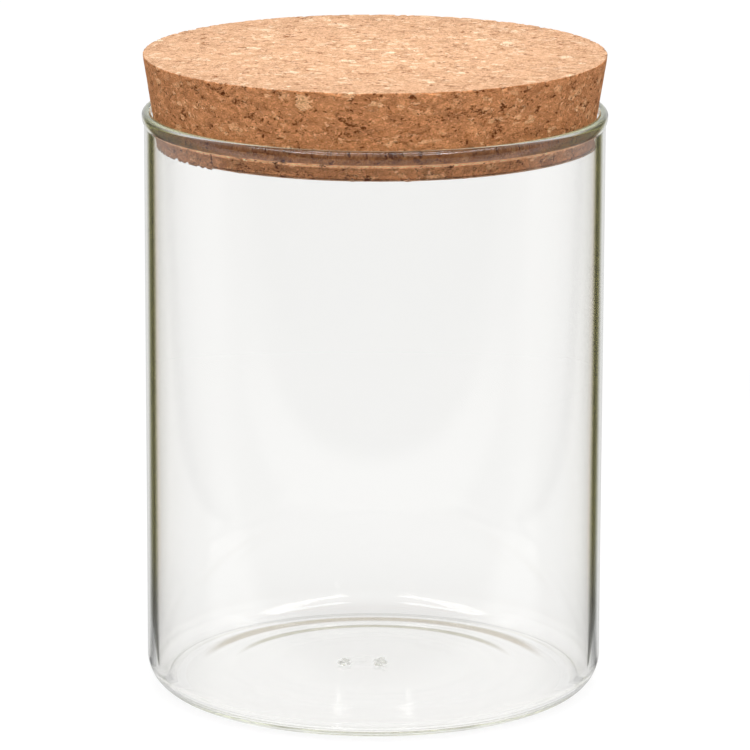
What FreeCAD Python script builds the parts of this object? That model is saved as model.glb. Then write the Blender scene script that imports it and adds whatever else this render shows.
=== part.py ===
# Glass storage jar with a tapered cork lid.
# The jar is a length of drawn borosilicate tube. Its foot is closed and pushed up in the middle,
# and its lip is melted back to a round bead. The lid is a disc of pressed cork granules whose
# tapered side wedges in the lip.
# Millimetres, +Z up, origin on the jar's axis at the surface that it stands on.

import FreeCAD, Part
import math
import os

# Glass tube
jar_diameter = 100.0
jar_height = 128.2
wall_thickness = 1.7

# Lip: a fire-polished bead that swells out of the wall
lip_swell = 0.5
lip_run_in = 2.1
lip_hollow_radius = 0.9

# Foot: pushed up in the middle, so that the jar stands on a ring
base_thickness = 2.0
base_push_up = 1.5
foot_ring_width = 2.0
foot_corner_radius = 6.5
floor_corner_radius = 3.0

# Seal mark: the shallow dimple left where the foot was closed, a little off the axis
seal_mark_diameter = 10.5
seal_mark_depth = 0.5
seal_mark_offset = 2.4

# Cork lid
lid_thickness = 19.35
lid_proud_height = 12.4
lid_taper_angle = 8.87
lid_edge_chamfer = 0.4
lid_fit_clearance = 0.1

# Sizes that follow from these
outer_radius = jar_diameter / 2
bore_radius = outer_radius - wall_thickness
lip_radius = (wall_thickness + lip_swell) / 2
lip_centre = (bore_radius + lip_radius, jar_height - lip_radius)
ring_outer_radius = outer_radius - foot_corner_radius
ring_inner_radius = ring_outer_radius - foot_ring_width
underside_radius = (ring_inner_radius**2 + base_push_up**2) / (2 * base_push_up)
floor_radius = underside_radius + base_thickness
dome_centre = (0, base_push_up - underside_radius)

AXIS_POINT = FreeCAD.Vector(0, 0, 0)
AXIS = FreeCAD.Vector(0, 0, 1)


def section_point(radius, height):
    """A point of a half section, which lies in the XZ plane."""
    return FreeCAD.Vector(radius, 0, height)


def line(start, end):
    """A straight edge of a half section between two (radius, height) pairs."""
    return Part.LineSegment(section_point(*start), section_point(*end)).toShape()


def on_circle(centre, radius, angle):
    """The (radius, height) pair at an angle about a centre: 0 points outwards, 90 up."""
    turn = math.radians(angle)
    return (centre[0] + radius * math.cos(turn), centre[1] + radius * math.sin(turn))


def arc(centre, radius, start_angle, end_angle):
    """A round edge of a half section, from one angle to another."""
    angles = (start_angle, (start_angle + end_angle) / 2, end_angle)
    return Part.Arc(*[section_point(*on_circle(centre, radius, angle)) for angle in angles]).toShape()


def turned(edges):
    """The solid that a closed half section makes when it is turned about the jar's axis."""
    return Part.Face(Part.Wire(edges)).revolve(AXIS_POINT, AXIS, 360)


def angle_from(centre, target):
    """Angle of the line from a centre to a target, between -180 and 180."""
    return math.degrees(math.atan2(target[1] - centre[1], target[0] - centre[0]))


def underside_edges():
    """The pushed-up underside, the ring that the jar stands on and the foot's round corner, outwards."""
    foot_centre = (ring_outer_radius, foot_corner_radius)
    return [
        arc(dome_centre, underside_radius, 90, angle_from(dome_centre, (ring_inner_radius, 0))),
        line((ring_inner_radius, 0), (ring_outer_radius, 0)),
        arc(foot_centre, foot_corner_radius, -90, 0),
    ]


def floor_edges():
    """The round corner at the foot of the bore and the floor, inwards, and the height where they start."""
    corner_reach = bore_radius - floor_corner_radius
    corner_height = dome_centre[1] + math.sqrt((floor_radius + floor_corner_radius)**2 - corner_reach**2)
    corner_centre = (corner_reach, corner_height)
    meeting_angle = angle_from(dome_centre, corner_centre)
    return [
        arc(corner_centre, floor_corner_radius, 0, meeting_angle - 180),
        arc(dome_centre, floor_radius, meeting_angle, 90),
    ], corner_height


def lip_edges():
    """The swell that leaves the wall in an S, and the full round over the top, from outside to inside."""
    swell_radius = (lip_run_in**2 + lip_swell**2) / (2 * lip_swell) - lip_hollow_radius
    s_angle = math.degrees(2 * math.atan(lip_swell / lip_run_in))
    swell_start = lip_centre[1] - lip_run_in
    hollow_centre = (outer_radius + lip_hollow_radius, swell_start)
    swell_centre = (outer_radius + lip_swell - swell_radius, lip_centre[1])
    return [
        arc(hollow_centre, lip_hollow_radius, 180, 180 - s_angle),
        arc(swell_centre, swell_radius, -s_angle, 0),
        arc(lip_centre, lip_radius, 0, 180),
    ], swell_start


def glass_jar():
    """The whole jar: one wall of glass, turned about the axis, with the seal mark in its floor."""
    lip, swell_start = lip_edges()
    floor, corner_height = floor_edges()
    outer_wall = line((outer_radius, foot_corner_radius), (outer_radius, swell_start))
    bore = line((bore_radius, lip_centre[1]), (bore_radius, corner_height))
    middle = line((0, base_push_up + base_thickness), (0, base_push_up))
    jar = turned(underside_edges() + [outer_wall] + lip + [bore] + floor + [middle])
    return jar.cut(seal_mark())


def seal_mark():
    """A ball whose lowest part dips into the floor, the width and depth of the seal mark."""
    ball_radius = ((seal_mark_diameter / 2)**2 + seal_mark_depth**2) / (2 * seal_mark_depth)
    floor_drop = floor_radius - math.sqrt(floor_radius**2 - seal_mark_offset**2)
    floor_height = base_push_up + base_thickness - floor_drop
    middle = FreeCAD.Vector(-seal_mark_offset, 0, floor_height - seal_mark_depth + ball_radius)
    return Part.makeSphere(ball_radius, middle)


def cork_lid():
    """The cork disc, its rims eased. Its tapered side stops one fit clearance short of the lip's round edge."""
    taper = math.radians(lid_taper_angle)
    top_height = jar_height + lid_proud_height
    under_height = top_height - lid_thickness
    drop_to_lip = top_height - lip_centre[1]
    seat_reach = lip_radius + lid_fit_clearance - drop_to_lip * math.sin(taper)
    top_radius = lip_centre[0] - seat_reach / math.cos(taper)
    under_radius = top_radius - lid_thickness * math.tan(taper)
    disc = turned([
        line((0, under_height), (under_radius, under_height)),
        line((under_radius, under_height), (top_radius, top_height)),
        line((top_radius, top_height), (0, top_height)),
        line((0, top_height), (0, under_height)),
    ])
    rims = [edge for edge in disc.Edges if isinstance(edge.Curve, Part.Circle)]
    return disc.makeChamfer(lid_edge_chamfer, rims)


os.makedirs("parts", exist_ok=True)
glass_jar().exportStep("parts/glass_jar.step")
cork_lid().exportStep("parts/cork_lid.step")
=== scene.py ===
import math
import random

import bmesh
import bpy
from mathutils import Euler, Matrix, Vector, noise
from mathutils.kdtree import KDTree


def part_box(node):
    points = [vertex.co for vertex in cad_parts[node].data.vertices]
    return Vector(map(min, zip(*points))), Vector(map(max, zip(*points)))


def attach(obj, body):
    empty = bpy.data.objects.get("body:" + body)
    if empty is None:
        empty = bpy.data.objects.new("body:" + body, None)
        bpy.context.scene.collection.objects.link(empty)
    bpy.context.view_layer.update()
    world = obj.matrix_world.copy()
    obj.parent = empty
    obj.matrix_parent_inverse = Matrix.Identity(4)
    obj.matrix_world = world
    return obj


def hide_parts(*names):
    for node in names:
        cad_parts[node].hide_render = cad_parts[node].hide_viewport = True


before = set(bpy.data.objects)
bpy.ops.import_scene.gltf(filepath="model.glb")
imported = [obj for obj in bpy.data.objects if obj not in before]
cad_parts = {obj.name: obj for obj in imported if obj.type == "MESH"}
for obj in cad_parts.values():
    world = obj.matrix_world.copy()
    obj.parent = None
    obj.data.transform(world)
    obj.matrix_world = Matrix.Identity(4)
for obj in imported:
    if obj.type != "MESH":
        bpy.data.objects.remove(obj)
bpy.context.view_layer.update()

# Glass jar
# A length of drawn borosilicate tube. The foot is closed on a lathe, with a round corner and a middle
# that is pushed up off the table, and the lip is melted back in a flame to a smooth round bead.
mm = 0.001
jar_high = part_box("glass_jar")[1]
jar_height = jar_high.z
lip_outer_radius = jar_high.x
lip_swell = 0.5 * mm
lip_run_in = 2.1 * mm
lip_hollow = 0.9 * mm
jar_radius = lip_outer_radius - lip_swell
wall = 1.7 * mm
bore_radius = jar_radius - wall
base_thickness = 2.0 * mm
base_push_up = 1.5 * mm
base_middle = base_push_up + base_thickness / 2
foot_corner = 6.5 * mm
foot_ring_width = 2.0 * mm
foot_ring_outer = jar_radius - foot_corner
foot_ring_inner = foot_ring_outer - foot_ring_width
floor_corner = 3.0 * mm
beside_corner = (0.1 * mm, 0.4 * mm)
glass_turns = 256
doubles_reach = 0.001 * mm

# Soft rings in the floor: radius half-way down the outer slope, width of each slope, height
floor_rings = [
    (43.0 * mm, 2.5 * mm, 1.0 * mm, 0.02 * mm),
    (38.5 * mm, 4.0 * mm, 2.8 * mm, 0.06 * mm),
    (31.5 * mm, 4.0 * mm, 2.0 * mm, 0.04 * mm),
    (23.0 * mm, 5.0 * mm, 2.4 * mm, 0.02 * mm),
]

# Seal mark: a shallow dish, with a puckered flank at its left and its right
seal_mark_reach = 5.4 * mm
seal_mark_depth = 0.12 * mm
seal_mark_offset = 2.4 * mm
seal_flank = 3.9 * mm
seal_flank_fade = (0.4 * mm, 1.8 * mm)
seal_pucker = 0.8 * mm
seal_crumple = 0.85 * mm
seal_squash = 0.4

# Tints of the glass, and painted shade where it turns edge on. In a list of stops, 0 is glass that faces
# the eye and 1 is glass seen edge on
glass_ior = 1.473
depth_tint = (0.64, 0.67, 0.48, 1)
depth_tint_density = 5
clear_tint = (0.984, 0.981, 0.973, 1)
wall_tint = (0.994, 0.994, 0.990, 1)
bead_tint = (0.72, 0.74, 0.46, 1)
# Edge on, the wall shows its own olive, darkened nearly to black by painted shade for dark surroundings
edge_shade_stops = [
    (0.00, wall_tint),
    (0.45, (0.992, 0.990, 0.983, 1)),
    (0.56, (0.985, 0.975, 0.950, 1)),
    (0.60, (0.950, 0.940, 0.900, 1)),
    (0.655, (0.860, 0.840, 0.770, 1)),
    (0.69, (0.810, 0.700, 0.560, 1)),
    (0.702, (0.560, 0.480, 0.320, 1)),
    (0.716, (0.280, 0.235, 0.100, 1)),
    (0.73, (0.100, 0.085, 0.014, 1)),
    (0.745, (0.045, 0.036, 0.001, 1)),
    (0.78, (0.100, 0.085, 0.006, 1)),
    (0.80, (0.240, 0.220, 0.060, 1)),
    (0.845, (0.700, 0.690, 0.560, 1)),
    (0.87, (0.950, 0.950, 0.900, 1)),
]
# Low on the wall and at the foot, the same line is painted as grey-black shade
foot_shade_stops = [
    (0.00, wall_tint),
    (0.45, (0.985, 0.985, 0.978, 1)),
    (0.58, (0.900, 0.895, 0.880, 1)),
    (0.66, (0.770, 0.760, 0.740, 1)),
    (0.69, (0.690, 0.675, 0.650, 1)),
    (0.704, (0.450, 0.440, 0.415, 1)),
    (0.718, (0.130, 0.125, 0.110, 1)),
    (0.733, (0.012, 0.011, 0.007, 1)),
    (0.765, (0.015, 0.014, 0.009, 1)),
    (0.80, (0.120, 0.118, 0.090, 1)),
    (0.845, (0.700, 0.700, 0.650, 1)),
    (0.87, (0.950, 0.950, 0.930, 1)),
]
# The lip's own olive, with painted shade where it turns edge on
lip_tint_and_shade_stops = [
    (0.00, clear_tint),
    (0.45, clear_tint),
    (0.64, (0.68, 0.68, 0.44, 1)),
    (0.78, (0.36, 0.35, 0.16, 1)),
    (0.92, (0.90, 0.90, 0.82, 1)),
]
# Where the bead stands upright it is painted nearly black: painted shade for dark surroundings seen in it
upright_lip_shade_stops = [
    (0.00, clear_tint),
    (0.34, clear_tint),
    (0.44, (0.64, 0.60, 0.28, 1)),
    (0.52, (0.30, 0.27, 0.05, 1)),
    (0.60, (0.14, 0.12, 0.01, 1)),
    (0.74, (0.09, 0.08, 0.006, 1)),
    (0.82, (0.30, 0.28, 0.12, 1)),
    (0.92, (0.90, 0.90, 0.80, 1)),
]

# Painted arcs of shade at the back of the floor, for the rings' dark refractions: radius, width, where
# between 0 and 1 as above each comes up, tint
floor_shade_arcs = [
    (45.2 * mm, 0.30 * mm, (0.66, 0.71), (0.52, 0.51, 0.48, 1)),
    (43.7 * mm, 1.0 * mm, (0.735, 0.77), (0.82, 0.81, 0.76, 1)),
    (39.0 * mm, 4.2 * mm, (0.735, 0.77), (0.32, 0.25, 0.15, 1)),
    (31.7 * mm, 2.8 * mm, (0.735, 0.77), (0.30, 0.27, 0.16, 1)),
]
arc_half_core = 0.3
arc_soft = 0.4

# Where each tint fades in: a radius, a height, a place from front to back, or a tilt of the surface
outside_fade = (jar_radius - 0.4 * mm, jar_radius - 0.1 * mm)
above_foot_fade = (foot_corner, foot_corner + 2 * mm)
below_lip_fade = (jar_height - 2.8 * mm, jar_height - 3.4 * mm)
inside_foot_fade = (bore_radius - 1.5 * mm, bore_radius - 2 * mm)
above_base_fade = (base_middle - 0.1 * mm, base_middle + 0.1 * mm)
back_of_floor_fade = (-8 * mm, 4 * mm)
bead_top_fade = (jar_height - 1.6 * mm, jar_height - 0.9 * mm)
bead_inner_fade = (bore_radius + 0.1 * mm, bore_radius + 0.5 * mm)
upright_fade = (0.7, 0.35)
# Height over which the wall's painted edge shade turns into the foot's
foot_shade_fade = (40 * mm, 14 * mm)
edge_line_start = 0.70
edge_line_narrowest = 0.03
edge_line_taper = (7 * mm, 18 * mm)


def on_circle(centre, radius, angle):
    """The (radius, height) pair at an angle in degrees about a centre: 0 points outwards, 90 up."""
    turn = math.radians(angle)
    return (centre[0] + radius * math.cos(turn), centre[1] + radius * math.sin(turn))


def arc(centre, radius, start, end, steps):
    """A round stretch of a half section, from one angle to another, as (radius, height) pairs."""
    return [on_circle(centre, radius, start + (end - start) * i / steps) for i in range(steps + 1)]


def straight(start, end):
    """Points close to both ends of a straight stretch, which keep it shaded flat beside round ones."""
    length = math.dist(start, end)
    near_start = [gap / length for gap in beside_corner]
    near_end = [1 - share for share in reversed(near_start)]
    return [tuple(a + (b - a) * share for a, b in zip(start, end)) for share in near_start + near_end]


def angle_from(centre, target):
    """Angle in degrees of the line from a centre to a target."""
    return math.degrees(math.atan2(target[1] - centre[1], target[0] - centre[0]))


def smooth(value, low, high):
    """0 below one value, 1 above another, and a soft rise between them."""
    share = min(1, max(0, (value - low) / (high - low)))
    return share * share * (3 - 2 * share)


def floor_wave(radius):
    """Height of the soft rings that the paddle left in the floor when the foot was closed."""
    total = 0
    for ring, rise, fall, height in floor_rings:
        crest = ring - fall / 2
        total += height * smooth(radius, crest - rise, crest) * (1 - smooth(radius, crest, crest + fall))
    return total


def jar_section():
    """Half section of the glass, from the middle of its underside, round the lip, to its floor's."""
    underside_radius = (foot_ring_inner**2 + base_push_up**2) / (2 * base_push_up)
    floor_radius = underside_radius + base_thickness
    dome = (0, base_push_up - underside_radius)
    ring_inner_angle = angle_from(dome, (foot_ring_inner, 0))
    lip_radius = (wall + lip_swell) / 2
    lip = (bore_radius + lip_radius, jar_height - lip_radius)
    swell_radius = (lip_run_in**2 + lip_swell**2) / (2 * lip_swell) - lip_hollow
    swell_start = lip[1] - lip_run_in
    s_angle = math.degrees(2 * math.atan(lip_swell / lip_run_in))
    reach = bore_radius - floor_corner
    corner = (reach, dome[1] + math.sqrt((floor_radius + floor_corner)**2 - reach**2))
    meeting = angle_from(dome, corner)
    beside_mark = 90 - math.degrees((seal_mark_offset + seal_mark_reach) / floor_radius)
    floor_line = [
        *arc(dome, floor_radius, meeting, beside_mark, steps=124)[1:],
        *arc(dome, floor_radius, beside_mark, 90, steps=60)[1:],
    ]
    return [
        *arc(dome, underside_radius, 90, ring_inner_angle, steps=24),
        *straight((foot_ring_inner, 0), (foot_ring_outer, 0)),
        *arc((foot_ring_outer, foot_corner), foot_corner, -90, 0, steps=20),
        *straight((jar_radius, foot_corner), (jar_radius, swell_start)),
        *arc((jar_radius + lip_hollow, swell_start), lip_hollow, 180, 180 - s_angle, steps=6),
        *arc((lip_outer_radius - swell_radius, lip[1]), swell_radius, -s_angle, 0, steps=8)[1:],
        *arc(lip, lip_radius, 0, 180, steps=24)[1:],
        *straight((bore_radius, lip[1]), (bore_radius, corner[1])),
        *arc(corner, floor_corner, 0, meeting - 180, steps=18),
        *[(radius, height + floor_wave(radius)) for radius, height in floor_line],
    ]


def spun(section, turns):
    """A closed shell, made by turning a half section about the jar's axis."""
    shell = bmesh.new()
    points = [shell.verts.new((radius, 0, height)) for radius, height in section]
    edges = [shell.edges.new(pair) for pair in zip(points, points[1:])]
    bmesh.ops.spin(
        shell, geom=points + edges, cent=(0, 0, 0), axis=(0, 0, 1),
        angle=2 * math.pi, steps=turns, use_merge=True,
    )
    bmesh.ops.remove_doubles(shell, verts=shell.verts, dist=doubles_reach)
    bmesh.ops.recalc_face_normals(shell, faces=shell.faces)
    return shell


def press_seal_mark(shell):
    """Sinks the scar where the foot was closed into the floor, a little off the axis, and puckers it."""
    for point in shell.verts:
        offset = point.co.xy + Vector((seal_mark_offset, 0))
        if point.co.z > base_middle and offset.length < 2 * seal_mark_reach:
            out = min(1, offset.length / seal_mark_reach)
            squashed = seal_squash * offset.y
            from_flank = math.hypot(abs(offset.x) - seal_flank, squashed)
            crumple = noise.noise(Vector((offset.x, squashed, 0)) / seal_crumple)
            pucker = crumple * (1 - smooth(from_flank, *seal_flank_fade))
            point.co.z += seal_pucker * pucker - seal_mark_depth * (1 - out * out)**2
    return shell


def finished(name, shell):
    """Turns a bmesh into a smooth-shaded object in the scene."""
    mesh = bpy.data.meshes.new(name)
    shell.to_mesh(mesh)
    shell.free()
    mesh.shade_smooth()
    made = bpy.data.objects.new(name, mesh)
    bpy.context.scene.collection.objects.link(made)
    return made


def new_material(name):
    """An empty material: its node tree and the node that the finished shader goes to."""
    material = bpy.data.materials.new(name)
    material.use_nodes = True
    material.node_tree.nodes.clear()
    return material, material.node_tree, add(material.node_tree, "OutputMaterial")


def add(tree, kind, inputs=None, **settings):
    """Adds a shader node. An input that is another node's socket is linked, any other value is set."""
    made = tree.nodes.new("ShaderNode" + kind)
    for name, value in settings.items():
        setattr(made, name, value)
    for socket, value in (inputs or {}).items():
        if isinstance(value, bpy.types.NodeSocket):
            tree.links.new(value, made.inputs[socket])
        else:
            made.inputs[socket].default_value = value
    return made


def split(tree, vector):
    """The X, Y and Z of a vector, by name."""
    return add(tree, "SeparateXYZ", {"Vector": vector}).outputs


def length_of(tree, vector):
    """The length of a vector."""
    return add(tree, "VectorMath", {0: vector}, operation="LENGTH").outputs["Value"]


def calc(tree, operation, first, second=0.0):
    """A sum on one or two numbers or sockets."""
    return add(tree, "Math", {0: first, 1: second}, operation=operation).outputs[0]


def times(tree, first, *others):
    """The product of two or more numbers or sockets."""
    for other in others:
        first = calc(tree, "MULTIPLY", first, other)
    return first


def rest_of(tree, share):
    """What a share leaves of 1."""
    return calc(tree, "SUBTRACT", 1.0, share)


def level(tree, value, low, high, start=0.0, end=1.0):
    """A number that runs evenly from one level to another while a value goes from start to end."""
    return add(tree, "MapRange", {
        "Value": value, "From Min": start, "From Max": end, "To Min": low, "To Max": high,
    }).outputs["Result"]


def step(tree, value, low, high):
    """0 below one value, 1 above another, and a smooth rise between them."""
    return add(tree, "MapRange", {
        "Value": value, "From Min": low, "From Max": high,
    }, interpolation_type="SMOOTHSTEP").outputs["Result"]


def band(tree, value, low, high, soft):
    """1 between two values, falling softly to 0 on both sides of them."""
    return times(tree, step(tree, value, low - soft, low), step(tree, value, high + soft, high))


def ramp(tree, factor, stops):
    """A colour ramp over (position, colour) stops. Returns its colour output."""
    made = add(tree, "ValToRGB", {"Fac": factor})
    while len(made.color_ramp.elements) < len(stops):
        made.color_ramp.elements.new(0.5)
    for element, (position, colour) in zip(made.color_ramp.elements, stops):
        element.position = position
        element.color = colour
    return made.outputs["Color"]


def mix(tree, factor, under, over, blend="MIX"):
    """Lays one colour over another. Sockets 6 and 7 of the node are its colours, output 2 the result."""
    sockets = {0: factor, 6: under, 7: over}
    return add(tree, "Mix", sockets, data_type="RGBA", blend_type=blend).outputs[2]


def floor_shade(tree, spot, reach, facing, surface):
    """Clear glass, with painted arcs of shade where the rings at the back of the floor turn away from the
    eye.
    """
    dome_drop = times(tree, reach, reach, base_push_up / foot_ring_inner**2)
    above_base = step(tree, calc(tree, "ADD", spot["Z"], dome_drop), *above_base_fade)
    on_floor = times(tree, step(tree, reach, *inside_foot_fade), above_base)
    from_above = rest_of(tree, surface["Backfacing"])
    at_back = step(tree, spot["Y"], *back_of_floor_fade)
    rings = times(tree, on_floor, from_above, at_back)
    tinted = clear_tint
    for radius, width, turned_away, tint in floor_shade_arcs:
        half_core = arc_half_core * width
        on_arc = band(tree, reach, radius - half_core, radius + half_core, arc_soft * width)
        tinted = mix(tree, times(tree, rings, on_arc, step(tree, facing, *turned_away)), tinted, tint)
    return tinted


def lip_tint_and_shade(tree, facing, surface):
    """The lip's olive tint, darkened by painted shade where it turns edge on, and most where the bead
    stands upright.
    """
    tilt = calc(tree, "ABSOLUTE", split(tree, surface["Normal"])["Z"])
    upright = step(tree, tilt, *upright_fade)
    return mix(tree, upright, ramp(tree, facing, lip_tint_and_shade_stops), ramp(tree, facing, upright_lip_shade_stops))


def edge_shade(tree, spot, facing):
    """The wall's olive line where it is seen edge on, darkened nearly to black by painted shade. It turns
    grey and narrows to a point at the foot.
    """
    narrow = level(tree, spot["Z"], edge_line_narrowest, 1.0, *edge_line_taper)
    before_line = calc(tree, "MINIMUM", facing, edge_line_start)
    past_line = calc(tree, "MAXIMUM", calc(tree, "SUBTRACT", facing, edge_line_start), 0.0)
    pointed = calc(tree, "ADD", before_line, calc(tree, "DIVIDE", past_line, narrow))
    low = step(tree, spot["Z"], *foot_shade_fade)
    return mix(tree, low, ramp(tree, pointed, edge_shade_stops), ramp(tree, pointed, foot_shade_stops))


def clear_glass():
    """Fire-polished glass, a little green in its depth, with olive tints and painted shade where it turns
    away.
    """
    material, tree, output = new_material("clear_glass")
    spot = split(tree, add(tree, "TexCoord").outputs["Object"])
    reach = length_of(tree, add(tree, "CombineXYZ", {"X": spot["X"], "Y": spot["Y"]}).outputs["Vector"])
    facing = add(tree, "LayerWeight", {"Blend": 0.5}).outputs["Facing"]
    surface = add(tree, "NewGeometry").outputs
    outside = step(tree, reach, *outside_fade)
    above_foot = step(tree, spot["Z"], *above_foot_fade)
    below_lip = step(tree, spot["Z"], *below_lip_fade)
    on_wall = times(tree, outside, above_foot, below_lip)
    on_lip = times(tree, outside, above_foot, rest_of(tree, below_lip))
    on_bead = times(tree, step(tree, spot["Z"], *bead_top_fade), step(tree, reach, *bead_inner_fade))
    colour = mix(tree, on_bead, floor_shade(tree, spot, reach, facing, surface), bead_tint)
    colour = mix(tree, on_lip, colour, lip_tint_and_shade(tree, facing, surface))
    colour = mix(tree, on_wall, colour, edge_shade(tree, spot, facing))
    glass = add(tree, "BsdfPrincipled", {
        "Base Color": colour, "Roughness": 0.0, "IOR": glass_ior, "Transmission Weight": 1.0,
    })
    depth = add(tree, "VolumeAbsorption", {"Color": depth_tint, "Density": depth_tint_density})
    tree.links.new(glass.outputs["BSDF"], output.inputs["Surface"])
    tree.links.new(depth.outputs["Volume"], output.inputs["Volume"])
    return material


jar = finished("jar_glass", press_seal_mark(spun(jar_section(), glass_turns)))
jar.data.materials.append(clear_glass())
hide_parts("glass_jar")
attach(jar, "jar")

# Cork lid
# A disc of cork granules pressed with a little binder, then turned to a taper and sanded flat. It wedges
# in the lip by its own spring. Pits, chipped rims and dark bark flecks show where granules broke out.
lid_low, lid_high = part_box("cork_lid")
lid_top_radius = lid_high.x
lid_taper = math.radians(8.87)
lid_thickness = lid_high.z - lid_low.z
lid_under_wear = 0.4 * mm
lid_under = lid_low.z + lid_under_wear
lid_rim_round = 0.25 * mm
lid_under_edge = 0.6 * mm
lid_cells = 160
lid_rows = 42
flat_enough = 0.9

# Granules, and the pits and chips where some broke out
granule = 2.8 * mm
granule_relief = 0.05 * mm
granule_seam = 0.3
granule_seam_sink = 2
face_clusters = 60
side_clusters = 60
cluster_counts = (1, 5)
cluster_spread = 0.9 * mm
rim_chips = 260
pit_reach = 1.8 * mm
pit_stretch = (1.0, 0.6, 0.45)
pit_smallest = 0.35
pit_size_draw = (1.2, 4)
pit_depth = 0.6 * mm
pit_shallowest = 0.4
pit_steepness = 2
pit_darkness = 1.8
chip_darkness = 0.5
crumble = 0.45 * mm
crumble_seed = 11

# Tones of the sanded faces and of the turned side, from dark granules to pale ones
tone_stops = (0.0, 0.14, 0.84, 1.0)
# Painted light: the faces get lit copies of the cork's tones, the side shaded copies
lit_face_tones = (
    (0.64, 0.36, 0.20, 1),
    (0.73, 0.425, 0.25, 1),
    (0.80, 0.48, 0.29, 1),
    (0.95, 0.69, 0.47, 1),
)
shaded_side_tones = (
    (0.55, 0.22, 0.088, 1),
    (0.63, 0.26, 0.105, 1),
    (0.79, 0.345, 0.147, 1),
    (0.95, 0.53, 0.27, 1),
)
# Bark in the hollows, likewise painted lighter on the faces and darker on the side
lit_face_bark = (0.33, 0.12, 0.042, 1)
shaded_side_bark = (0.14, 0.034, 0.006, 1)
bark_cover = 0.95
face_contrast = 1.1
side_contrast = 1.35
face_fissures = 0.628
side_fissures = 0.605

# Grain inside the granules. Scales are in cells to a millimetre
pressed_flat = (1000, 1000, 1700)
large_granules = 0.34
small_granules = 0.9
small_granule_fade = (0.46, 0.54)
whole_turns = (6.3, 6.3, 6.3)
streak_stretch = (0.6, 0.6, 3.2)
streak_weight = 0.6
speck_weight = 0.4
streak_stops = [
    (0.36, (0.60, 0.51, 0.40, 1)),
    (0.50, (1.0, 1.0, 1.0, 1)),
    (0.64, (1.34, 1.48, 1.66, 1)),
]

# Pores, pale flecks, seams and fissures
pore_stretch = (0.65, 0.85, 1.8)
pore_share = 0.17
fine_pore_weight = 0.8
fleck_share = 0.085
fleck_shift = (7.3, 2.1, 4.7)
fleck_cover = 0.4
spot_smallest = 0.3
spot_soft = 0.10
choice_soft = 0.02
crowd_sway = 1.4
crowd_at_seam = 0.16
fray_sway = 1.4
seam_side = (0.0, 0.16)
seam_line = (0.0, 0.05)
seam_broken_fade = (0.50, 0.60)
seam_weight = 0.4
fissure_at_seam = 0.06
fissure_width = 0.5
fissure_fade = (-0.01, 0.02)
crease_fade = (0.10, 0.02)
crease_weight = 0.55
open_pit_fade = (0.35, 0.65)

# Painted light: a caustic line and the lip's shade on the side, where it also presses; shade near the top
# rim
caustic_line = (124.55 * mm, 125.1 * mm)
caustic_line_soft = 0.45 * mm
caustic_line_light = (1.9, 2.4, 3.0, 1)
# The ring where the lip presses, darkened as painted shade under the lip
pressed_shaded_ring = (125.4 * mm, 126.6 * mm)
pressed_shaded_ring_soft = 0.5 * mm
pressed_shaded_ring_tint = (0.62, 0.55, 0.42, 1)
# Painted shade: the faces darken towards the top rim
rim_shade_fade = (0.3 * lid_top_radius, lid_top_radius)
rim_shade_tint = (0.5, 0.48, 0.46, 1)
face_rim_shade = 0.16
side_rim_shade = 0.0
cork_roughness = 0.9
cork_shine = 0.08
bump_strength = 0.7
bump_height = 0.25 * mm
bump_of_shade = 0.6


def side_radius(height):
    """Radius of the lid's tapered side at a height."""
    return lid_top_radius - (lid_high.z - height) * math.tan(lid_taper)


def round_disc(shell, radius, height):
    """A square grid pulled out to a round disc: each square ring of its cells becomes a circle."""
    grid = bmesh.ops.create_grid(shell, x_segments=lid_cells, y_segments=lid_cells, size=1.0)["verts"]
    for point in grid:
        x, y = point.co.x, point.co.y
        reach, turn = 0, 0
        if abs(x) > abs(y):
            reach, turn = x, math.pi / 4 * y / x
        elif y:
            reach, turn = y, math.pi / 2 - math.pi / 4 * x / y
        point.co = (radius * reach * math.cos(turn), radius * reach * math.sin(turn), height)


def cork_shell():
    """Top and underside joined by the tapered side, the top rim rounded, the lower one a thin edge."""
    shell = bmesh.new()
    round_disc(shell, lid_top_radius, lid_high.z)
    round_disc(shell, side_radius(lid_under), lid_under)
    half_way = lid_high.z - lid_thickness / 2
    rims = [edge for edge in shell.edges if edge.is_boundary]
    top_rim = [edge for edge in rims if edge.verts[0].co.z >= half_way]
    under_rim = [edge for edge in rims if edge.verts[0].co.z < half_way]
    bmesh.ops.bridge_loops(shell, edges=rims)
    for rim, reach in ((top_rim, lid_rim_round), (under_rim, lid_under_edge)):
        bmesh.ops.bevel(
            shell, geom=rim, offset=reach, segments=2, profile=0.5, affect="EDGES", material=-1,
        )
    uprights = []
    for edge in shell.edges:
        low, high = sorted(point.co.z for point in edge.verts)
        if high - low > lid_thickness / 2:
            uprights.append(edge)
    bmesh.ops.subdivide_edges(shell, edges=uprights, cuts=lid_rows)
    bmesh.ops.recalc_face_normals(shell, faces=shell.faces)
    shell.normal_update()
    for face in shell.faces:
        face.material_index = 0 if abs(face.normal.z) > flat_enough else 1
    return shell


def around(spread, turn, height):
    """The place at a distance from the axis, a turn about it and a height."""
    return Vector((spread * math.cos(turn), spread * math.sin(turn), height))


def cluster(draw, middle):
    """A few spots close together, where neighbouring granules broke out."""
    count = draw.randint(*cluster_counts)
    return [middle + Vector([draw.gauss(0, cluster_spread) for _ in range(3)]) for _ in range(count)]


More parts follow.
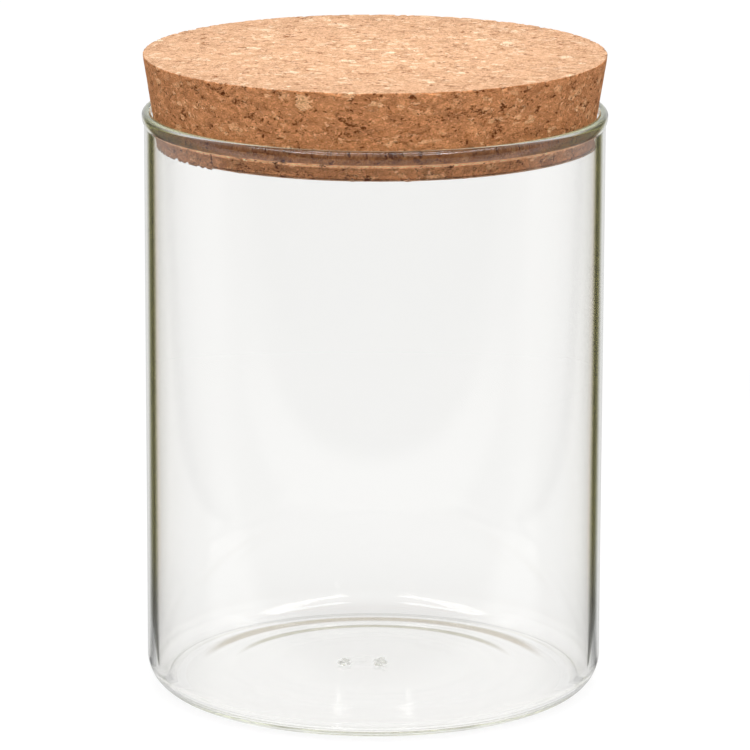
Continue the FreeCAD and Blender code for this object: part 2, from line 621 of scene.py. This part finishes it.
def broken_granules(draw):
    """Holes where granules broke out: a middle, a turn, three reaches, a depth and a darkness for each."""
    pits = []
    for _ in range(face_clusters):
        spread = lid_top_radius * math.sqrt(draw.random())
        turn = draw.uniform(0, 2 * math.pi)
        height = draw.choice((lid_low.z, lid_high.z))
        pits += cluster(draw, around(spread, turn, height))
    for _ in range(side_clusters):
        height = draw.uniform(lid_low.z, lid_high.z)
        turn = draw.uniform(0, 2 * math.pi)
        pits += cluster(draw, around(side_radius(height), turn, height))
    chips = []
    for _ in range(rim_chips):
        height = draw.choice((lid_low.z, lid_high.z))
        turn = draw.uniform(0, 2 * math.pi)
        chips.append(around(side_radius(height), turn, height))
    holes = []
    for middles, darkness in ((pits, pit_darkness), (chips, chip_darkness)):
        for middle in middles:
            tilt = Euler([draw.uniform(0, math.pi) for _ in range(3)]).to_matrix()
            size = pit_smallest + (1 - pit_smallest) * draw.betavariate(*pit_size_draw)
            reaches = [pit_reach * size * stretch for stretch in pit_stretch]
            depth = pit_depth * draw.uniform(pit_shallowest, 1.0)
            holes.append((middle, tilt, reaches, depth, darkness))
    return holes


def roughen(shell, holes):
    """Sinks the seams between granules and the holes into the turned surface, and marks the holes."""
    mark = shell.verts.layers.float.new("pit")
    near = KDTree(len(holes))
    for number, hole in enumerate(holes):
        near.insert(hole[0], number)
    near.balance()
    noise.seed_set(crumble_seed)
    for point in shell.verts:
        place = point.co.copy()
        nearest, second = noise.voronoi(place / granule)[0][:2]
        unevenness = noise.noise(place / granule) * 0.5 + 0.5
        seam = max(0, granule_seam - (second - nearest)) * granule_seam_sink
        sunk = granule_relief * (unevenness + seam)
        torn = place + noise.noise_vector(place / (2 * crumble)) * crumble
        deepest = 0.0
        for middle, number, _ in near.find_range(torn, pit_reach):
            _, tilt, reaches, depth, darkness = holes[number]
            offset = tilt @ (torn - middle)
            inside = 1 - Vector([part / reach for part, reach in zip(offset, reaches)]).length
            if inside > 0:
                sunk = max(sunk, depth * min(1, pit_steepness * inside))
                deepest = max(deepest, darkness * inside)
        point[mark] = min(1, deepest)
        point.co = place - point.normal * sunk
    return shell


def move(tree, operation, first, second):
    """A sum on two vectors."""
    return add(tree, "VectorMath", {0: first, 1: second}, operation=operation).outputs[0]


def grain(tree, place, scale, detail=2.0, rough=0.5):
    """Soft noise between about 0.2 and 0.8, as a number and as a colour, by name."""
    sockets = {"Vector": place, "Scale": scale, "Detail": detail, "Roughness": rough}
    return add(tree, "TexNoise", sockets).outputs


def swayed(tree, place, scale, amount):
    """A shift in every direction that differs from place to place."""
    sway = move(tree, "SUBTRACT", grain(tree, place, scale)["Color"], (0.5, 0.5, 0.5))
    return move(tree, "MULTIPLY", sway, (amount, amount, amount))


def spots(tree, place, scale, share, reach, crowd, fray):
    """Marks of differing size in a share of the cells of a pattern, more of them where they crowd."""
    cells = add(tree, "TexVoronoi", {"Vector": place, "Scale": scale}).outputs
    draw = add(tree, "SeparateColor", {"Color": cells["Color"]}).outputs
    chosen = step(tree, calc(tree, "ADD", draw["Red"], crowd), 1 - share, 1 - share + choice_soft)
    edge = times(tree, calc(tree, "ADD", draw["Green"], spot_smallest), reach)
    frayed = calc(tree, "ADD", calc(tree, "SUBTRACT", edge, cells["Distance"]), fray)
    return times(tree, chosen, step(tree, frayed, 0.0, spot_soft))


def stained(tree, share, colour, stain):
    """A colour multiplied by a stain, over a share of the surface."""
    return mix(tree, share, colour, mix(tree, 1.0, colour, stain, "MULTIPLY"))


def granules(tree, pressed):
    """Ragged cells: the place in them, a colour drawn for each, and the place turned by that draw."""
    bent = move(tree, "ADD", pressed, swayed(tree, pressed, scale=0.45, amount=2.0))
    ragged = move(tree, "ADD", bent, swayed(tree, pressed, scale=1.9, amount=1.3))
    large = add(tree, "TexVoronoi", {"Vector": ragged, "Scale": large_granules}).outputs["Color"]
    small = add(tree, "TexVoronoi", {"Vector": ragged, "Scale": small_granules}).outputs["Color"]
    which = step(tree, grain(tree, pressed, scale=0.3)["Fac"], *small_granule_fade)
    chip = mix(tree, which, large, small)
    turn = {"Vector": ragged, "Rotation": move(tree, "MULTIPLY", chip, whole_turns)}
    turned = add(tree, "VectorRotate", turn, rotation_type="EULER_XYZ").outputs[0]
    return ragged, chip, turned


def hollows(tree, pressed, ragged, turned, speck, fissure_start):
    """Where the cork is open: pores, fissures, broken seams and torn pits. Also the pale flecks."""
    cells = {"Vector": ragged, "Scale": large_granules}
    edge = add(tree, "TexVoronoi", cells, feature="DISTANCE_TO_EDGE").outputs["Distance"]
    beside_seam = rest_of(tree, step(tree, edge, *seam_side))
    gather = calc(tree, "SUBTRACT", grain(tree, pressed, scale=0.22)["Fac"], 0.5)
    at_seam = times(tree, beside_seam, crowd_at_seam)
    crowd = calc(tree, "ADD", times(tree, gather, crowd_sway), at_seam)
    fray = calc(tree, "SUBTRACT", times(tree, speck, fray_sway), fray_sway / 2)
    flat = move(tree, "MULTIPLY", turned, pore_stretch)
    wide_pores = spots(tree, flat, scale=0.75, share=pore_share, reach=0.40, crowd=crowd, fray=fray)
    fine_pores = spots(tree, flat, scale=1.8, share=pore_share, reach=0.44, crowd=crowd, fray=fray)
    pores = calc(tree, "MAXIMUM", wide_pores, times(tree, fine_pores, fine_pore_weight))
    shifted = move(tree, "ADD", flat, fleck_shift)
    flecks = spots(tree, shifted, scale=0.9, share=fleck_share, reach=0.4, crowd=crowd, fray=fray)

    thin_seam = rest_of(tree, step(tree, edge, *seam_line))
    broken = step(tree, grain(tree, pressed, scale=0.6)["Fac"], *seam_broken_fade)
    seam = times(tree, thin_seam, broken)
    wave = grain(tree, ragged, scale=0.55, detail=3.0, rough=0.6)["Fac"]
    ridge = calc(tree, "ABSOLUTE", calc(tree, "SUBTRACT", wave, 0.5))
    weak_seam = times(tree, beside_seam, fissure_at_seam)
    patch = calc(tree, "ADD", grain(tree, pressed, scale=0.28)["Fac"], weak_seam)
    width = times(tree, calc(tree, "SUBTRACT", patch, fissure_start), fissure_width)
    fissure = step(tree, calc(tree, "SUBTRACT", width, ridge), *fissure_fade)
    gaps = calc(tree, "MAXIMUM", fissure, times(tree, seam, seam_weight))

    pit = add(tree, "Attribute", attribute_name="pit").outputs["Fac"]
    crease = times(tree, step(tree, ridge, *crease_fade), crease_weight)
    torn = times(tree, pit, calc(tree, "ADD", crease, 1 - crease_weight))
    open_pit = step(tree, torn, *open_pit_fade)
    hollow = calc(tree, "MAXIMUM", calc(tree, "MAXIMUM", pores, open_pit), gaps)
    return hollow, flecks


def cork(name, tones, bark, contrast, fissure_start, rim_shade):
    """Pressed cork: granules of differing tone and grain, pale flecks, dark hollows, a ring pressed by the
    lip, and painted light and shade.
    """
    material, tree, output = new_material(name)
    place = add(tree, "TexCoord").outputs["Object"]
    pressed = move(tree, "MULTIPLY", place, pressed_flat)
    ragged, chip, turned = granules(tree, pressed)
    fibres = move(tree, "MULTIPLY", turned, streak_stretch)
    streak = grain(tree, fibres, scale=1.0, detail=5.0, rough=0.68)["Fac"]
    speck = grain(tree, pressed, scale=2.4, detail=4.0, rough=0.7)["Fac"]
    shade = calc(tree, "ADD", times(tree, streak, streak_weight), times(tree, speck, speck_weight))
    stronger = calc(tree, "ADD", times(tree, shade, contrast), 0.5 - 0.5 * contrast)
    hollow, flecks = hollows(tree, pressed, ragged, turned, speck, fissure_start)

    tone = add(tree, "SeparateColor", {"Color": chip}).outputs["Red"]
    whole = ramp(tree, tone, list(zip(tone_stops, tones)))
    streaked = mix(tree, 1.0, whole, ramp(tree, stronger, streak_stops), "MULTIPLY")
    flecked = mix(tree, times(tree, flecks, fleck_cover), streaked, tones[-1])
    along = split(tree, place)["Z"]
    # A painted caustic: a pale line of light on the side below the lip's bead
    caustic_lit = stained(tree, band(tree, along, *caustic_line, caustic_line_soft), flecked, caustic_line_light)
    # The ring the lip presses in, darkened by painted shade under the lip
    pressed_and_shaded = stained(tree, band(tree, along, *pressed_shaded_ring, pressed_shaded_ring_soft), caustic_lit, pressed_shaded_ring_tint)
    across = length_of(tree, move(tree, "MULTIPLY", place, (1, 1, 0)))
    # Painted shade, darker towards the top rim
    rim_shaded = times(tree, step(tree, across, *rim_shade_fade), rim_shade)
    rim_shaded_colour = stained(tree, rim_shaded, pressed_and_shaded, rim_shade_tint)
    colour = mix(tree, times(tree, hollow, bark_cover), rim_shaded_colour, bark)

    height = calc(tree, "SUBTRACT", times(tree, shade, bump_of_shade), hollow)
    bump = add(tree, "Bump", {"Strength": bump_strength, "Distance": bump_height, "Height": height})
    bsdf = add(tree, "BsdfPrincipled", {
        "Base Color": colour, "Roughness": cork_roughness, "Specular IOR Level": cork_shine,
        "Normal": bump.outputs["Normal"],
    })
    tree.links.new(bsdf.outputs["BSDF"], output.inputs["Surface"])
    return material


# Lit and shaded copies of one cork: painted light on the faces, painted shade on the side
lit_face_cork = cork("cork_face_painted_lit", lit_face_tones, lit_face_bark, face_contrast, face_fissures, face_rim_shade)
shaded_side_cork = cork("cork_side_painted_shade", shaded_side_tones, shaded_side_bark, side_contrast, side_fissures, side_rim_shade)
lid = finished("lid_cork", roughen(cork_shell(), broken_granules(random.Random(11))))
lid.data.materials.append(lit_face_cork)
lid.data.materials.append(shaded_side_cork)
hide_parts("cork_lid")
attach(lid, "lid")

# Floor
# A plain white table of matt card. Near the jar it takes a soft shadow, and further out it fades into the
# white surround. Mirror images in the glass show it at other levels, as dark flags round a set would.
table_half_width = 6.0
card_colour = (0.16, 0.16, 0.16, 1)
far_fade = (0.10, 0.32)
near_seen_direct = 0.88
# Seen through the glass, the near table glows a little less: painted shade
near_through_shaded = 0.835
near_other = 0.34
far_seen = 1.02
far_other = 0.45

# Levels of the table's mirror images. Behind the jar they go by how far aside a spot lies for its depth
flag_levels = [(0.17, 0.66), (0.26, 0.16), (0.35, 0.14), (0.40, 0.38), (0.80, 0.62)]
flag_scale = 0.5
flag_least_depth = 0.005
near_flag_drop = 0.2
foot_mirror = 0.9
foot_mirror_fade = (-0.02, -0.045)
front_mirror = 0.15
front_mirror_fade = (-0.08, -0.115)
far_front_mirror = 0.2
far_behind_fade = (-0.20, -0.05)
scatter_cut = 0.8


def glow(tree, seen, mirrored, other):
    """One strength for what is seen straight or through glass, one for mirror images, one for the rest."""
    path = add(tree, "LightPath").outputs
    scattered = times(tree, calc(tree, "GREATER_THAN", path["Diffuse Depth"], 0.5), scatter_cut)
    through = times(tree, path["Is Transmission Ray"], rest_of(tree, scattered))
    straight_on = calc(tree, "MAXIMUM", path["Is Camera Ray"], through)
    return level(tree, straight_on, level(tree, path["Is Glossy Ray"], other, mirrored), seen)


def table_glow(tree, seen, mirrored, other):
    """The same, where a mirror image on the inside of the glass counts as one too."""
    mirrors = add(tree, "LightPath").outputs["Glossy Depth"]
    through = level(tree, calc(tree, "COMPARE", mirrors, 1.0), seen, mirrored)
    return glow(tree, through, mirrored, other)


def white_table():
    """White matt card, part lit by the lamps, that glows white further out."""
    material, tree, output = new_material("white_table")
    place = add(tree, "TexCoord").outputs["Object"]
    spot = split(tree, place)
    aside = calc(tree, "SUBTRACT", calc(tree, "ABSOLUTE", spot["X"]), jar_radius)
    slant = calc(tree, "DIVIDE", aside, calc(tree, "MAXIMUM", spot["Y"], flag_least_depth))
    greys = [(position, (grey, grey, grey, 1)) for position, grey in flag_levels]
    flags = ramp(tree, times(tree, slant, flag_scale), greys)
    far_mirrored = level(tree, step(tree, spot["Y"], *far_behind_fade), far_front_mirror, flags)
    near_flags = calc(tree, "MAXIMUM", calc(tree, "SUBTRACT", flags, near_flag_drop), 0.0)
    by_foot = level(tree, step(tree, spot["Y"], *foot_mirror_fade), near_flags, foot_mirror)
    near_mirrored = level(tree, step(tree, spot["Y"], *front_mirror_fade), by_foot, front_mirror)
    direct = add(tree, "LightPath").outputs["Is Camera Ray"]
    near_seen = level(tree, direct, near_through_shaded, near_seen_direct)
    near_glow = table_glow(tree, near_seen, near_mirrored, near_other)
    far_glow = table_glow(tree, far_seen, far_mirrored, far_other)
    lit = add(tree, "BsdfDiffuse", {"Color": card_colour}).outputs[0]
    near_shine = add(tree, "Emission", {"Strength": near_glow}).outputs[0]
    near = add(tree, "AddShader", {0: lit, 1: near_shine}).outputs[0]
    far = add(tree, "Emission", {"Strength": far_glow}).outputs[0]
    outwards = step(tree, length_of(tree, place), *far_fade)
    table = add(tree, "MixShader", {0: outwards, 1: near, 2: far}).outputs[0]
    tree.links.new(table, output.inputs["Surface"])
    return material


floor_shell = bmesh.new()
bmesh.ops.create_grid(floor_shell, x_segments=1, y_segments=1, size=table_half_width)
floor = finished("floor", floor_shell)
floor.data.materials.append(white_table())

# Light
# A white studio: an even surround, a large soft light overhead and a soft light high at each side. A small
# lamp near each side light shows only as a gleam on the glass. Light may bounce often inside the glass.
ceiling_fade = (0.75, 0.9)
ceiling_dim = 0.2
front_to_back = (-0.6, -0.1)
mirror_front = 0.25
mirror_back = 0.9
mirror_high_fade = (0.15, 0.4)
mirror_side = 0.25
mirror_side_fade = (0.3, 0.5)
mirror_low_fade = (0.5, 0.3)
surround_other = 0.4
glass_bounces = 160
world = bpy.data.worlds.new("studio")
bpy.context.scene.world = world
world.use_nodes = True
sky = world.node_tree
sky.nodes.clear()
heading = split(sky, add(sky, "TexCoord").outputs["Generated"])
ceiling = times(sky, step(sky, heading["Z"], *ceiling_fade), ceiling_dim)
direct = add(sky, "LightPath").outputs["Is Camera Ray"]
seen_level = calc(sky, "MAXIMUM", rest_of(sky, ceiling), direct)
behind_level = level(sky, heading["Y"], mirror_front, mirror_back, *front_to_back)
high_level = calc(sky, "MAXIMUM", behind_level, step(sky, heading["Z"], *mirror_high_fade))
to_side = step(sky, calc(sky, "ABSOLUTE", heading["X"]), *mirror_side_fade)
low_side = times(sky, to_side, step(sky, heading["Z"], *mirror_low_fade))
mirror_level = level(sky, low_side, high_level, mirror_side)
surround_level = glow(sky, seen_level, mirror_level, surround_other)
surround = add(sky, "Background", {"Color": (1, 1, 1, 1), "Strength": surround_level}).outputs[0]
sky.links.new(surround, add(sky, "OutputWorld").inputs["Surface"])


def soft_light(name, place, size, power):
    """A rectangular soft light that faces the jar, its length running from front to back."""
    lamp = bpy.data.lights.new(name, "AREA")
    lamp.shape = "RECTANGLE"
    lamp.size, lamp.size_y = size
    lamp.energy = power
    made = bpy.data.objects.new(name, lamp)
    bpy.context.scene.collection.objects.link(made)
    away = (Vector(place) - Vector((0, 0, jar_height))).normalized()
    back = Vector((0, 1, 0))
    along = (back - back.project(away)).normalized()
    turn = Matrix((along.cross(away), along, away)).transposed().to_4x4()
    made.matrix_world = Matrix.Translation(place) @ turn
    return made


soft_light("overhead_light", place=(0, -0.13, 1.07), size=(0.7, 0.5), power=5.8)
soft_light("left_light", place=(-0.75, -0.78, 1.13), size=(0.28, 1.8), power=7.9)
soft_light("right_light", place=(0.75, -0.78, 1.13), size=(0.28, 1.8), power=8.5)
for side in (-1, 1):
    gleam = soft_light("gleam", place=(side * 0.75, -0.95, 1.0), size=(0.2, 0.4), power=2.3)
    gleam.visible_camera = False
    gleam.visible_diffuse = False
    gleam.visible_transmission = False

light_paths = bpy.context.scene.cycles
light_paths.max_bounces = glass_bounces
light_paths.glossy_bounces = glass_bounces
light_paths.transmission_bounces = glass_bounces

# Camera
# A long lens a little above the lid, as in the photograph. Angles are in radians.
camera_place = (0, -1.08729, 0.32726)
camera_pitch = 0.2333
camera_yaw = 0.00016
camera_roll = 0.00281
camera_lens = 244.72
camera_sensor = 36
camera_nearest = 0.01
camera_data = bpy.data.cameras.new("camera")
camera_data.lens = camera_lens
camera_data.sensor_width = camera_sensor
camera_data.clip_start = camera_nearest
camera = bpy.data.objects.new("camera", camera_data)
bpy.context.scene.collection.objects.link(camera)
camera.matrix_world = (
    Matrix.Translation(camera_place)
    @ Matrix.Rotation(-camera_yaw, 4, "Z")
    @ Matrix.Rotation(math.pi / 2 - camera_pitch, 4, "X")
    @ Matrix.Rotation(camera_roll, 4, "Z")
)
bpy.context.scene.camera = camera
bpy.context.scene.view_settings.view_transform = "Standard"
